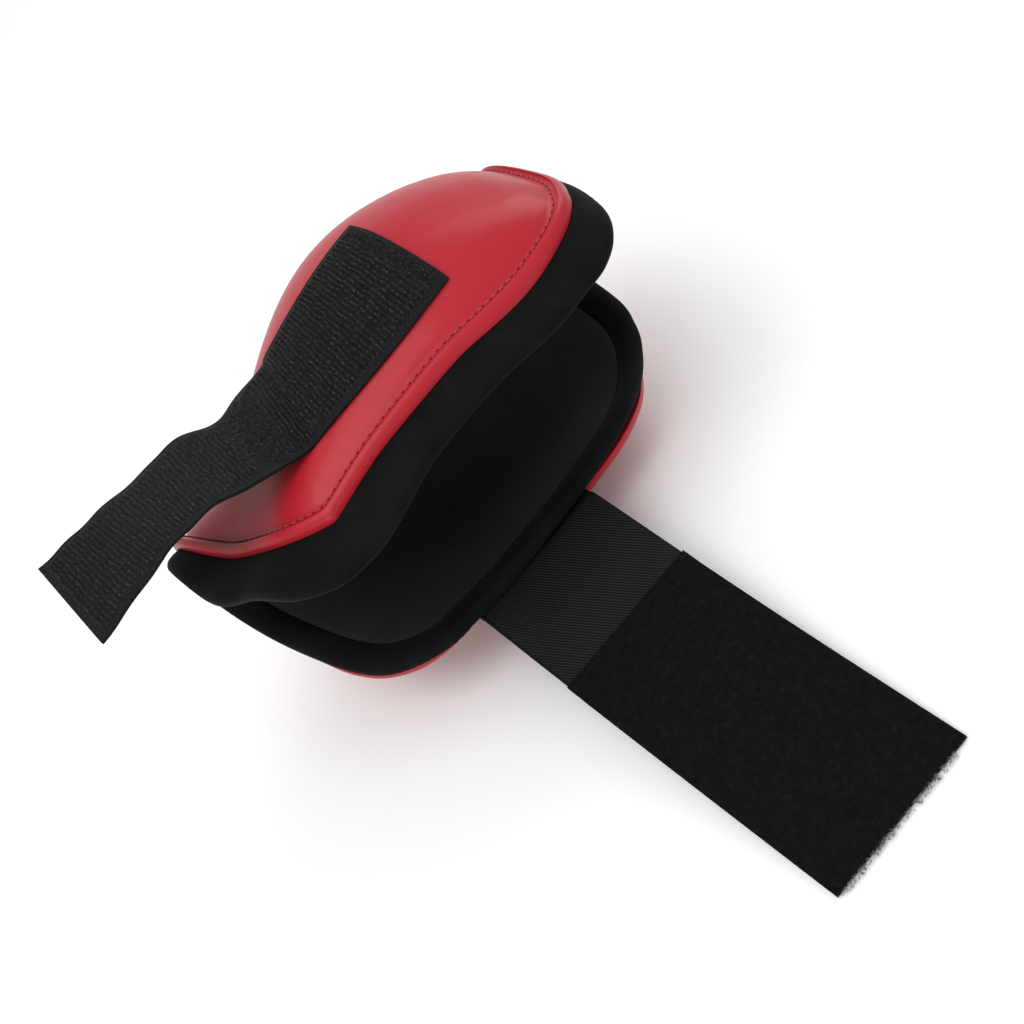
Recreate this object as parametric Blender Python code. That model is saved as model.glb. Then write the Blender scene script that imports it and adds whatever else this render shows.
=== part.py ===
"""Wrap-round limb guard: a moulded cup shell on a padded U, with a hook tape on
its upper half and an elastic strap that ends in loop tape.

The shell and its padding are one flexible U. They are built as an upper and a
lower half that meet at the back, where the U flexes open.

Guard frame: X along the limb, the mouth of the U towards -Y. A point of the
padding is given by (x, u, t): x along the limb, u the way from the front line
round the U towards the back, and t the height above the inner face, outwards.
Each half counts its own u from its own front line. The whole guard is then
tilted until its lower half and the end of the strap rest on the floor, z = 0.
Sizes below are millimetres and degrees, and objects are built in metres.
"""

import math

import bmesh
import bpy
from mathutils import Matrix, Vector

MM = 0.001

# ---- the U of the padding, seen along X
WRAP_LENGTH = 188.0        # inner face, from the lower front line to the upper
FRONT_HEIGHT = 13.5        # inner face of the lower half at its front line
START_SLOPE = -4.0         # direction of the inner face at the lower front
END_SLOPE = 171.1          # and at the upper front
ARM_SHARE = 0.11           # share of the turn that is spread over the arms
BEND_START = 39.3
BEND_LENGTH = 92.3
OVERHANG = 30.0
SECTION_STEP = 0.5
HALF_WRAP = WRAP_LENGTH / 2.0

# ---- how the guard stands
TILT = 5.9                 # turn about X that brings strap and shell to the floor

# ---- layers, as heights above the inner face
GAP = 0.35
LINING = 2.0
PAD = 5.6                  # lining, foam and cover together
SEAT = 6.3                 # underside of the shell
FLANGE = 3.6               # height of the shell's rim above its seat
DOME = 7.0                 # height of the shell's crown above its seat
DOME_REACH = 27.0          # way from the rim to the full height
FLANGE_WIDTH = 5.0         # solid rim of the shell
SHELL_WALL = 2.0
CURL = 4.5                 # how far the front lobes turn in towards the limb
CURL_REACH = 30.0
LOBES = (50.0, -38.0)      # x of the two front lobes
LOBE_WIDTH = 30.0
BULGE = 27.5               # how much deeper the cup is at its middle than at its ends
BULGE_CENTRE = 25.0
BULGE_WIDTH = 82.5
BULGE_BASE = -8.0          # depth of the ends against the plain section
BULGE_REACH = 58.0         # way from the front line to the full depth

# ---- outlines as (x, u), from the right-hand end to the left
PAD_FRONT = {
    "upper": [(85, 42), (81, 21), (75, 8), (66, 3), (54, 4), (28, 2), (12, 2),
              (-3, 1), (-15, -1.5), (-27, -2.5), (-38, -1), (-48, 1), (-58, 10), (-65, 30),
              (-70, 50)],
    "lower": [(82, 54), (82, 44), (78, 34), (71, 24), (62, 14), (52, 6), (40, 2), (25, 2),
              (4, 2), (-25, -2), (-36, -4), (-44, 0), (-52, 8), (-61, 22), (-69, 46), (-71, 58)],
}
SHELL_FRONT = {
    "upper": [(83, 60), (82.5, 42), (75, 26), (63, 15), (52, 9.2), (40, 8), (27, 8.5), (20, 10),
              (10, 11), (-3, 11.5), (-14, 11), (-24, 10.5), (-34, 11.5), (-45, 24), (-55, 43),
              (-63, 64)],
    "lower": [(80, 62), (78, 48), (72, 35), (62, 23), (50, 13), (38, 8), (25, 7), (4, 8),
              (-16, 6.5), (-26, 5.5), (-34, 2.5), (-41, 3), (-50, 12), (-58, 27), (-63, 46), (-65, 62)],
}
BACK_EDGE = 91.3           # u where each half ends
FLEX_AXIS = (0.0, 89.4, 46.6)     # a point of the line that the upper half flexes about
PAD_BACK_X = (83.0, -74.0)
SHELL_BACK_X = (82.0, -67.0)
BAND_WIDTH = 9.0           # rolled edge band of the padding
BAND_PROFILE = [(0.9, 0.5), (0, 2.0), (0, 3.8), (1.1, 5.2), (3, PAD), (BAND_WIDTH, PAD),
                (BAND_WIDTH, 0), (3, 0)]
FOAM_INSET = 12.0          # foam under the dome, in from the shell's rim
FOAM_SEAT = 0.9            # foam's underside above the shell's seat
FOAM_CLEARANCE = 1.4       # between the foam and the shell

# ---- facets
PAD_COLUMNS = 17
ARM_ROWS = 6               # rows of facets from the front to the knee
BEND_ROWS = 5              # and from the knee to the back edge
KNEE = 66.0
PATCH_COLUMNS = 10
PATCH_ROWS = 7
BAND_SECTIONS = 32
BAND_END_SECTIONS = 6
SHELL_COLUMNS = 19
FOAM_COLUMNS = 13
SEAM_POINTS = 50
TUBE_SIDES = 4

# ---- hook tape
TAPE_WIDTH = 50.0
TAPE_THICK = 1.6
TAPE_LIFT = 0.5            # underside of the patch above the shell
PATCH_FRONT = ((34.8, 20.8), (-30.4, 29.4))   # its front edge, right end and left end
PATCH_BACK = ((32.9, 64.3), (-21.7, 73.5))
# centre line of the free tail: x, y, z, lean to the back and skew, in degrees
TAIL_LINE = [(-27.4, 46.9, 79.4, 12.7, 9.5), (-36.9, 46.9, 83.8, 13.5, 3.5),
             (-50.0, 47.5, 88.3, 15.5, 2.5), (-62.0, 47.8, 90.0, 15.0, 0.0),
             (-74.0, 48.0, 90.6, 12.5, -3.0), (-86.0, 48.0, 90.0, 9.6, -1.0),
             (-97.7, 48.0, 89.7, 7.0, 1.0)]
TAIL_CUTS = (0, 2, 4, 6)   # points of the line where the tail bends or ends

# ---- strap: centre line (y, z) from the edge of the padding to the cut end
STRAP_LINE = [(-1.4, 8.7), (-36.0, 5.0), (-56.3, 3.3), (-76.6, 2.1), (-97.0, 1.5),
              (-117.4, 1.3), (-137.8, 1.3)]
ELASTIC_PIECES = 1
ELASTIC_WIDTH = 50.0
LOOP_WIDTH = 51.0
STRAP_THICK = 1.8
ROOT_TAB = (0.4, 3.8)      # u range of the sewn end of the elastic
END_GAP = 0.2              # half the gap between two pieces of a tape
END_RELIEF = 0.5           # slant of a tape's end face, so that it can bend down

# ---- threads
THREAD_RADIUS = 0.45
SEAM_INSET = 3.6           # from the shell's rim to its seam
SEAM_LIFT = 0.6
BOX_LENGTH = 16.0          # far side of the strap's box stitch from its start
BOX_INSET = 2.5            # from the edge of a tape to its box stitch

MATERIALS = {
    "shell_red": ((0.45, 0.012, 0.025, 1.0), 0.22),
    "thread_red": ((0.16, 0.006, 0.01, 1.0), 0.7),
    "thread_black": ((0.01, 0.01, 0.011, 1.0), 0.7),
    "neoprene_black": ((0.012, 0.012, 0.013, 1.0), 0.75),
    "foam_black": ((0.02, 0.02, 0.021, 1.0), 0.9),
    "hook_black": ((0.022, 0.022, 0.026, 1.0), 0.6),
    "loop_black": ((0.008, 0.008, 0.009, 1.0), 0.95),
    "elastic_black": ((0.012, 0.012, 0.013, 1.0), 0.7),
}


def clear_scene():
    for obj in list(bpy.data.objects):
        bpy.data.objects.remove(obj, do_unlink=True)


def make_material(name):
    material = bpy.data.materials.get(name) or bpy.data.materials.new(name)
    material.use_nodes = True
    shader = material.node_tree.nodes["Principled BSDF"]
    colour, roughness = MATERIALS[name]
    shader.inputs["Base Color"].default_value = colour
    shader.inputs["Roughness"].default_value = roughness
    shader.inputs["Metallic"].default_value = 0.0
    return material


def smooth(value):
    value = min(1.0, max(0.0, value))
    return value * value * (3.0 - 2.0 * value)


# ---- the U of the padding
def slope(s):
    """Direction of the inner face at s along the U, in radians."""
    arm = ARM_SHARE * min(1.0, max(0.0, s / WRAP_LENGTH))
    turn = arm + (1.0 - ARM_SHARE) * smooth((s - BEND_START) / BEND_LENGTH)
    return math.radians(START_SLOPE + (END_SLOPE - START_SLOPE) * turn)


def trace_section():
    """Points (y, z) of the inner face, starting OVERHANG before the lower front line."""
    y = z = 0.0
    points = [(y, z)]
    for index in range(round((WRAP_LENGTH + 2 * OVERHANG) / SECTION_STEP)):
        angle = slope((index + 0.5) * SECTION_STEP - OVERHANG)
        y += SECTION_STEP * math.cos(angle)
        z += SECTION_STEP * math.sin(angle)
        points.append((y, z))
    y0, z0 = points[round(OVERHANG / SECTION_STEP)]
    return [(y - y0, z - z0 + FRONT_HEIGHT) for y, z in points]


SECTION = trace_section()


def curl(x, u):
    """How far the padding turns in towards the limb at the front lobes."""
    lobes = sum(smooth(1.0 - abs(x - lobe) / LOBE_WIDTH) for lobe in LOBES)
    return CURL * lobes * smooth(1.0 - max(0.0, u) / CURL_REACH)


def bulge(x, u):
    """How far the padding is cupped outwards, more in the middle than at the ends."""
    part = max(0.0, 1.0 - ((x - BULGE_CENTRE) / BULGE_WIDTH) ** 2)
    return (BULGE * part * part + BULGE_BASE) * smooth(u / BULGE_REACH)


def pad_point(half, x, u, t):
    s = u if half == "lower" else WRAP_LENGTH - u
    place = (s + OVERHANG) / SECTION_STEP
    index = int(place)
    (y0, z0), (y1, z1) = SECTION[index], SECTION[index + 1]
    part = place - index
    angle = slope(s)
    height = t - curl(x, u) + bulge(x, u)
    y = y0 + (y1 - y0) * part + height * math.sin(angle)
    z = z0 + (z1 - z0) * part - height * math.cos(angle)
    return Vector((x, y, z))


# ---- plane curves in (x, u)
def catmull(p0, p1, p2, p3, part):
    a = [2.0 * b for b in p1]
    b = [r - p for p, r in zip(p0, p2)]
    c = [2 * p - 5 * q + 4 * r - s for p, q, r, s in zip(p0, p1, p2, p3)]
    d = [-p + 3 * q - 3 * r + s for p, q, r, s in zip(p0, p1, p2, p3)]
    return tuple(0.5 * (w + part * (x + part * (y + part * z))) for w, x, y, z in zip(a, b, c, d))


def curve_through(points, count, detail=12):
    """count points, evenly spaced, on the smooth curve through the given points."""
    ends = [points[0]] + list(points) + [points[-1]]
    fine = [points[0]]
    for index in range(len(points) - 1):
        for step in range(1, detail + 1):
            fine.append(catmull(*ends[index:index + 4], step / detail))
    lengths = [0.0]
    for a, b in zip(fine, fine[1:]):
        lengths.append(lengths[-1] + math.dist(a, b))
    result = []
    index = 0
    for number in range(count):
        target = lengths[-1] * number / (count - 1)
        while index < len(fine) - 2 and lengths[index + 1] < target:
            index += 1
        part = (target - lengths[index]) / (lengths[index + 1] - lengths[index])
        result.append(tuple(a + (b - a) * part for a, b in zip(fine[index], fine[index + 1])))
    return result


def inset(path, amount):
    """The path moved to its left-hand side, which is inwards for a front from right to left."""
    moved = []
    for index, point in enumerate(path):
        before = path[max(0, index - 1)]
        after = path[min(len(path) - 1, index + 1)]
        dx, du = after[0] - before[0], after[1] - before[1]
        size = math.hypot(dx, du)
        moved.append((point[0] + amount * du / size, point[1] - amount * dx / size))
    return moved


def distance_to(path, x, u):
    best = 1e9
    for (ax, au), (bx, bu) in zip(path, path[1:]):
        dx, du = bx - ax, bu - au
        along = ((x - ax) * dx + (u - au) * du) / (dx * dx + du * du)
        along = min(1.0, max(0.0, along))
        best = min(best, math.hypot(x - ax - along * dx, u - au - along * du))
    return best


def line(start, end, count):
    return [tuple(a + (b - a) * i / (count - 1) for a, b in zip(start, end)) for i in range(count)]


# ---- the shell's height over its outline
def shell_path(half):
    """The shell's free edge in (x, u), from the back right round the front to the back left."""
    right, left = SHELL_BACK_X
    return [(right, HALF_WRAP + DOME_REACH)] + curve_through(SHELL_FRONT[half], 60) + [
        (left, HALF_WRAP + DOME_REACH)]


RIM = {half: shell_path(half) for half in SHELL_FRONT}


def shell_top(half, x, u):
    rise = math.sin(0.5 * math.pi * min(1.0, distance_to(RIM[half], x, u) / DOME_REACH))
    return SEAT + FLANGE + (DOME - FLANGE) * rise


def shell_under(half, x, u):
    hollow = smooth((distance_to(RIM[half], x, u) - FLANGE_WIDTH) / 4.0)
    return SEAT + (shell_top(half, x, u) - SHELL_WALL - SEAT) * hollow


# ---- solids
def add_object(name, vertices, faces, material, smooth_angle=35.0):
    mesh = bpy.data.meshes.new(name)
    mesh.from_pydata([v * MM for v in vertices], [], faces)
    work = bmesh.new()
    work.from_mesh(mesh)
    bmesh.ops.recalc_face_normals(work, faces=work.faces)
    work.to_mesh(mesh)
    work.free()
    mesh.shade_smooth()
    mesh.set_sharp_from_angle(angle=math.radians(smooth_angle))
    mesh.materials.append(make_material(material))
    obj = bpy.data.objects.new(name, mesh)
    bpy.context.scene.collection.objects.link(obj)
    return obj


def columns_to_back(front, ends, margin):
    """Columns of (x, u) from the front curve to the back edge, with shared rows round the bend."""
    columns = []
    back = line((ends[0] - margin, BACK_EDGE), (ends[1] + margin, BACK_EDGE), len(front))
    for start, end in zip(front, back):
        share = (KNEE - start[1]) / (BACK_EDGE - start[1])
        knee = (start[0] + (end[0] - start[0]) * share, KNEE)
        columns.append(line(start, knee, ARM_ROWS + 1)[:-1] + line(knee, end, BEND_ROWS + 1))
    return columns


def set_origin(obj, point):
    """Put the object's origin on the point, which is in the guard frame, and leave its shape."""
    obj.data.transform(Matrix.Translation(-MM * point))
    obj.location = MM * point


def layer(name, half, columns, under, top, material):
    """A sheet between two heights above the inner face, over columns of (x, u)."""
    across, rows = len(columns), len(columns[0]) - 1
    lower, upper = [], []
    for column in columns:
        for x, u in column:
            lower.append(pad_point(half, x, u, under(x, u)))
            upper.append(pad_point(half, x, u, top(x, u)))
    count = len(lower)
    faces = []
    for column in range(across - 1):
        for row in range(rows):
            a = column * (rows + 1) + row
            b, c, d = a + 1, a + rows + 2, a + rows + 1
            faces.append((a, b, c, d))
            faces.append((a + count, d + count, c + count, b + count))
    last = (across - 1) * (rows + 1)
    edge = list(range(rows + 1)) + [k * (rows + 1) + rows for k in range(1, across)]
    edge += [last + k for k in range(rows - 1, -1, -1)]
    edge += [k * (rows + 1) for k in range(across - 2, 0, -1)]
    for a, b in zip(edge, edge[1:] + edge[:1]):
        faces.append((a, b, b + count, a + count))
    return add_object(name, lower + upper, faces, material)


def loft(name, rings, material, closed=False):
    """A solid through rings of equally many points, closed into a loop or capped."""
    size = len(rings[0])
    vertices = [point for ring in rings for point in ring]
    faces = []
    for index in range(len(rings) if closed else len(rings) - 1):
        first, second = index * size, (index + 1) % len(rings) * size
        for k in range(size):
            nxt = (k + 1) % size
            faces.append((first + k, first + nxt, second + nxt, second + k))
    if not closed:
        faces.append(tuple(range(size)))
        faces.append(tuple(range(len(vertices) - size, len(vertices))))
    return add_object(name, vertices, faces, material)


def tube(name, points, material, closed):
    rings = []
    for index, point in enumerate(points):
        before = points[index - 1] if closed or index else point
        after = points[(index + 1) % len(points)] if closed or index < len(points) - 1 else point
        along = (after - before).normalized()
        side = along.cross(Vector((0.31, 0.17, 0.93))).normalized()
        up = side.cross(along)
        ring = []
        for k in range(TUBE_SIDES):
            angle = 2.0 * math.pi * (k + 0.5) / TUBE_SIDES
            ring.append(point + THREAD_RADIUS * (math.cos(angle) * side + math.sin(angle) * up))
        rings.append(ring)
    return loft(name, rings, material, closed)


def constant(value):
    return lambda x, u: value


# ---- the padding of one half
def make_padding(half):
    margin = BAND_WIDTH + GAP
    front = inset(curve_through(PAD_FRONT[half], PAD_COLUMNS), margin)
    columns = columns_to_back(front, PAD_BACK_X, margin)
    layer("inner_lining_" + half, half, columns, constant(0.0), constant(LINING),
          "neoprene_black")
    layer("foam_core_" + half, half, columns, constant(LINING + GAP), constant(PAD),
          "foam_black")


def make_edge_band(half):
    front = curve_through(PAD_FRONT[half], BAND_SECTIONS)
    right = line((PAD_BACK_X[0], BACK_EDGE), front[0], BAND_END_SECTIONS)[:-1]
    left = line(front[-1], (PAD_BACK_X[1], BACK_EDGE), BAND_END_SECTIONS)[1:]
    path = right + front + left
    rings = []
    for depth, height in BAND_PROFILE:
        rings.append([pad_point(half, x, u, height) for x, u in inset(path, depth)])
    sections = [[ring[index] for ring in rings] for index in range(len(path))]
    loft("edge_band_" + half, sections, "neoprene_black")


# ---- the shell of one half
def make_shell(half):
    front = curve_through(SHELL_FRONT[half], SHELL_COLUMNS)
    layer("shell_" + half, half, columns_to_back(front, SHELL_BACK_X, 0.0),
          lambda x, u: shell_under(half, x, u), lambda x, u: shell_top(half, x, u), "shell_red")
    path = [(SHELL_BACK_X[0], BACK_EDGE)] + front + [(SHELL_BACK_X[1], BACK_EDGE)]
    points = []
    for x, u in curve_through(inset(path, SEAM_INSET), SEAM_POINTS)[1:-1]:
        height = shell_top(half, x, u) + SEAM_LIFT + THREAD_RADIUS
        points.append(pad_point(half, x, u, height))
    tube("shell_seam_" + half, points, "thread_red", closed=False)


def make_dome_foam(half):
    front = inset(curve_through(SHELL_FRONT[half], FOAM_COLUMNS), FOAM_INSET)
    columns = columns_to_back(front, SHELL_BACK_X, FOAM_INSET)
    layer("dome_foam_" + half, half, columns, constant(SEAT + FOAM_SEAT),
          lambda x, u: shell_under(half, x, u) - FOAM_CLEARANCE, "foam_black")


# ---- hook tape
def make_patch():
    columns = [line(front, back, PATCH_ROWS + 1) for front, back in zip(
        line(*PATCH_FRONT, PATCH_COLUMNS), line(*PATCH_BACK, PATCH_COLUMNS))]
    layer("hook_patch", "upper", columns,
          lambda x, u: shell_top("upper", x, u) + TAPE_LIFT,
          lambda x, u: shell_top("upper", x, u) + TAPE_LIFT + TAPE_THICK, "hook_black")
    box = [mix_corner(0, 0), mix_corner(1, 0), mix_corner(1, 1), mix_corner(0, 1)]
    loop = []
    for start, end in zip(box, box[1:] + box[:1]):
        loop += line(start, end, 9)[:-1]
    height = TAPE_LIFT + TAPE_THICK + GAP + THREAD_RADIUS
    points = [pad_point("upper", x, u, shell_top("upper", x, u) + height) for x, u in loop]
    tube("patch_box_stitch", points, "thread_black", closed=True)


def mix_corner(end, side):
    """A corner of the patch's box stitch, BOX_INSET in from the corner of the patch."""
    x, u = (PATCH_BACK if side else PATCH_FRONT)[end]
    return x + (BOX_INSET if end else -BOX_INSET), u + (-BOX_INSET if side else BOX_INSET)


def tail_rings(first, last):
    """Cross-sections of a piece of the tail, with its two end faces set back."""
    rings = []
    for index in range(first, last + 1):
        x, y, z, lean, skew = TAIL_LINE[index]
        before = Vector(TAIL_LINE[max(0, index - 1)][:3])
        after = Vector(TAIL_LINE[min(len(TAIL_LINE) - 1, index + 1)][:3])
        along = (after - before).normalized()
        lean, skew = math.radians(lean), math.radians(skew)
        across = Vector((-math.sin(skew), -math.cos(skew) * math.cos(lean), math.sin(lean)))
        across.normalize()
        up = across.cross(along).normalized()
        up = up if up.z > 0 else -up
        centre = Vector((x, y, z))
        top, under = centre + up * 0.5 * TAPE_THICK, centre - up * 0.5 * TAPE_THICK
        shift = {first: 1.0, last: -1.0}.get(index, 0.0)
        top = top + along * shift * END_GAP
        under = under + along * shift * (END_GAP + END_RELIEF)
        half = across * 0.5 * TAPE_WIDTH
        rings.append([top - half, top + half, under + half, under - half])
    return rings


def make_tail():
    names = ["hook_tail_root", "hook_tail_middle", "hook_tail_end"]
    for name, first, last in zip(names, TAIL_CUTS, TAIL_CUTS[1:]):
        rings = tail_rings(first, last)
        piece = loft(name, rings, "hook_black")
        set_origin(piece, 0.5 * (rings[0][0] + rings[0][1]))


# ---- strap
def strap_piece(name, start, end, width, material):
    """A flat piece of the strap. Its origin is on the line it bends about, on its upper face."""
    start, end = Vector((0.0,) + start), Vector((0.0,) + end)
    along = (end - start).normalized()
    up = Vector((0.0, -along.z, along.y))
    up = up if up.z > 0 else -up
    half = Vector((0.5 * width, 0.0, 0.0))
    rings = []
    for point, shift in ((start, 1.0), (end, -1.0)):
        top = point + up * 0.5 * STRAP_THICK + along * shift * END_GAP
        under = point - up * 0.5 * STRAP_THICK + along * shift * (END_GAP + END_RELIEF)
        rings.append([top - half, top + half, under + half, under - half])
    piece = loft(name, rings, material)
    set_origin(piece, start + up * 0.5 * STRAP_THICK)


def make_strap():
    for index, (start, end) in enumerate(zip(STRAP_LINE, STRAP_LINE[1:])):
        if index < ELASTIC_PIECES:
            strap_piece("elastic_%d" % (index + 1), start, end, ELASTIC_WIDTH, "elastic_black")
        else:
            number = index + 1 - ELASTIC_PIECES
            strap_piece("loop_tape_%d" % number, start, end, LOOP_WIDTH, "loop_black")
    under = PAD + GAP
    front = line((0.5 * ELASTIC_WIDTH, ROOT_TAB[0]), (-0.5 * ELASTIC_WIDTH, ROOT_TAB[0]), 6)
    back = line((0.5 * ELASTIC_WIDTH, ROOT_TAB[1]), (-0.5 * ELASTIC_WIDTH, ROOT_TAB[1]), 6)
    columns = [[start, end] for start, end in zip(front, back)]
    layer("elastic_root", "lower", columns, constant(under), constant(under + STRAP_THICK),
          "elastic_black")


def make_strap_stitch():
    """Box stitch that joins the loop tape to the elastic, on the first piece of loop tape."""
    start = Vector((0.0,) + STRAP_LINE[ELASTIC_PIECES])
    along = (Vector((0.0,) + STRAP_LINE[ELASTIC_PIECES + 1]) - start).normalized()
    up = Vector((0.0, along.z, -along.y))
    side = 0.5 * LOOP_WIDTH - BOX_INSET
    lift = up * (0.5 * STRAP_THICK + GAP + THREAD_RADIUS)
    corners = []
    for x, far in ((side, BOX_INSET), (-side, BOX_INSET), (-side, BOX_LENGTH), (side, BOX_LENGTH)):
        corners.append(start + along * far + lift + Vector((x, 0.0, 0.0)))
    points = []
    for first, second in zip(corners, corners[1:] + corners[:1]):
        points += [first.lerp(second, k / 6) for k in range(6)]
    stitch = tube("strap_box_stitch", points, "thread_black", closed=True)
    set_origin(stitch, start + up * 0.5 * STRAP_THICK)


def stand_on_floor():
    """Tilt the guard, then put the bottom centre of its box at the origin."""
    stand = bpy.data.objects.new("stand", None)
    bpy.context.scene.collection.objects.link(stand)
    turn = Matrix.Rotation(math.radians(TILT), 3, "X")
    low, high = Vector((1e9, 1e9, 1e9)), Vector((-1e9, -1e9, -1e9))
    for obj in bpy.data.objects:
        if obj.type != "MESH":
            continue
        obj.parent = stand
        for vertex in obj.data.vertices:
            place = turn @ (obj.location + vertex.co)
            low = Vector(map(min, low, place))
            high = Vector(map(max, high, place))
    stand.rotation_euler.x = math.radians(TILT)
    stand.location = (-0.5 * (low.x + high.x), -0.5 * (low.y + high.y), -low.z)
    bpy.context.view_layer.update()


def main():
    clear_scene()
    for half in ("lower", "upper"):
        make_padding(half)
        make_edge_band(half)
        make_shell(half)
        make_dome_foam(half)
    make_patch()
    for obj in bpy.data.objects:
        if obj.name.endswith("_upper") or "patch" in obj.name:
            set_origin(obj, Vector(FLEX_AXIS))
    make_tail()
    make_strap()
    make_strap_stitch()
    stand_on_floor()


main()
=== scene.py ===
"""Looks of the wrap-round limb guard: a glossy moulded shell sewn to a padded U,
a hook tape patch whose tail hangs free, and an elastic strap that ends in loop tape.

Places are worked out in the guard frame, in millimetres: X along the limb, the
mouth of the U towards -Y. A point of the U is (x, s, t): x along the limb, s the
way round the inner face from the lower front line to the upper one, and t the
height above that face, outwards. The stand then tilts it all into the row frame.
"""

import math
import random

import bpy
import numpy as np
from mathutils import Matrix, Vector


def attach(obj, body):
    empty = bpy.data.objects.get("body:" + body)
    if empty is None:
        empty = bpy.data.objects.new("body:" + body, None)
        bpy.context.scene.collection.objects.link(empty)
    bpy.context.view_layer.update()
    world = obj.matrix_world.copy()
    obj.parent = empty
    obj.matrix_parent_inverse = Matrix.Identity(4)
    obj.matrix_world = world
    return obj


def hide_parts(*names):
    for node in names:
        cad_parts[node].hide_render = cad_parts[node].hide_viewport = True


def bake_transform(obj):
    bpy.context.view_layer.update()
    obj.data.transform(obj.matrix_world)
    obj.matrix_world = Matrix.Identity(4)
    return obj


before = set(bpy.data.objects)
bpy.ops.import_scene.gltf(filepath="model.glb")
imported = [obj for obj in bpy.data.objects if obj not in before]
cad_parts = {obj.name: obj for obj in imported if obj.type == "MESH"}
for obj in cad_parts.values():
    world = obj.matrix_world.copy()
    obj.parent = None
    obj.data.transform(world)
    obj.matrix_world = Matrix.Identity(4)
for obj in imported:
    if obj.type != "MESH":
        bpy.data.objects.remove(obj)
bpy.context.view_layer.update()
random.seed(7)
NOISE = np.random.default_rng(7)

MM = 0.001

# ---- how the guard frame stands in the row frame
TILT = math.radians(5.9)
STAND = np.array((6.478, 16.598, 13.695))

# ---- the U of the inner face, seen along X
WRAP = 188.0
FRONT_HEIGHT = 13.5
START_SLOPE = -4.0
END_SLOPE = 171.1
ARM_SHARE = 0.11
BEND_START = 39.3
BEND_LENGTH = 92.3
OVERHANG = 30.0
CURL = 4.5
CURL_REACH = 30.0
LOBES = (50.0, -38.0)
LOBE_WIDTH = 30.0
BULGE = 27.5
BULGE_CENTRE = 26.5
BULGE_WIDTH = 82.5
BULGE_BASE = -8.0
BULGE_REACH = 58.0
FLARE = 9.0                # extra depth of the left end of the back
FLARE_FROM = -48.0
FLARE_WIDTH = 26.0
FLARE_START = 56.0         # way from the front line where the flare starts
FLARE_GROWTH = 38.0        # and the length over which it grows

# ---- outlines of the two halves as (x, way from the front line), right to left
PAD_UPPER = [(81, 21), (75, 8), (66, 3), (54, 4), (28, 2), (12, 2), (-3, 1), (-15, -1.5),
             (-27, -2.5), (-38, -1), (-48, 1), (-58, 10), (-65, 30)]
PAD_LOWER = [(77.5, 34.5), (70.5, 24.8), (60, 14.2), (50, 6.8), (40, 4.3), (29, 4.5), (17, 3.5),
             (4, 2.2), (-12, 0.8), (-25, -0.8), (-34.8, -1.8), (-43, 1.5), (-51.5, 8.8),
             (-58.2, 17.8), (-64.5, 33)]
# the two ends, round the back: three points down the left one, three up the right one. The first
# on the left and the last on the right are measured from the upper front line, the other four
# from the lower one
PAD_SIDES = ([(-72.5, 50), (-74, 97), (-70.3, 58)], [(82, 50), (83, 94), (85, 50)])
SHELL_UPPER = [(81.5, 37.5), (79, 30), (75.8, 23.8), (70.5, 18.8), (64, 16), (55, 14.2), (44, 13),
               (32, 12.5), (20, 13), (6, 13.2), (-8, 13.4), (-21, 13.7), (-34.2, 13.4),
               (-41.5, 18.8), (-47.7, 26), (-53.2, 37.4)]
SHELL_CORNER = 12          # the point of the shell's upper outline that is a sharp corner
SHELL_LOWER = [(76.5, 42), (69.5, 29), (61.5, 18.3), (54.5, 11.3), (47.5, 7), (39.5, 5.8), (29, 7.2),
               (15, 8), (0, 8), (-16, 7), (-27, 5), (-36, 3.5), (-45, 6.7), (-52.5, 13.2),
               (-59.1, 21.8), (-64, 34)]
SHELL_SIDES = ([(-60.5, 56), (-68.5, 98), (-67, 54)], [(80, 56), (80.6, 94), (81.9, 52)])

OUTLINE_ACROSS = 130       # mesh points along each long side, and round each end
OUTLINE_AROUND = 90
SPLINE_DETAIL = 16
RIM_STEP = 0.5
CORE_INSET = 14.0

# ---- layers, as heights above the inner face
PAD_TOP = 5.6
PAD_UNDER = 1.0
PANEL_TOP = 0.85
SHELL_UNDER = 5.72
SHELL_SEAT = 6.3
SHELL_FLANGE = 3.6
SHELL_DOME = 7.0
DOME_REACH = 27.0
SHELL_WALL = 2.0
HOLLOW_START = 5.0         # way in from the edge where the shell's under side starts to rise
HOLLOW_WIDTH = 4.0

# ---- profiles across an edge: way in from the outline, height
SHELL_PROFILE = [(5.0, SHELL_UNDER), (0.3, SHELL_UNDER), (0.0, 5.9), (0.0, 6.8), (0.12, 7.6),
                 (0.4, 8.3), (0.8, 8.85), (1.25, 9.22), (1.6, 9.42), (1.85, 9.5), (2.05, 9.44),
                 (2.2, 9.15), (2.35, 8.8), (2.6, 8.52), (3.0, 8.4), (3.6, 8.36), (4.3, 8.38),
                 (4.8, 8.5), (5.3, 8.86), (5.9, 9.3), (6.6, 9.72), (7.4, 10.12), (8.6, 10.68),
                 (10.2, 11.3), (12.2, 11.9)]
SEAM_DEPTH = 3.9           # where the shell is sewn down, in the groove behind its rim
SEAM_HEIGHT = 8.38
SEAM_PITCH = 2.9
PAD_OUTER = [(9.0, 5.55), (6.5, 5.5), (4.5, 5.25), (3.2, 4.95), (2.2, 4.65), (1.3, 4.2),
             (0.75, 3.75), (0.45, 3.4), (0.35, 3.15), (0.1, 2.9), (0.0, 2.3), (0.0, 1.6),
             (0.15, 0.95), (0.55, 0.3), (1.2, -0.3), (2.0, -0.75), (3.0, -0.95), (4.5, -0.95),
             (6.0, -0.7), (7.3, -0.3), (8.1, 0.15), (8.5, 0.6), (8.9, 0.95), (9.6, 1.0)]
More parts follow.
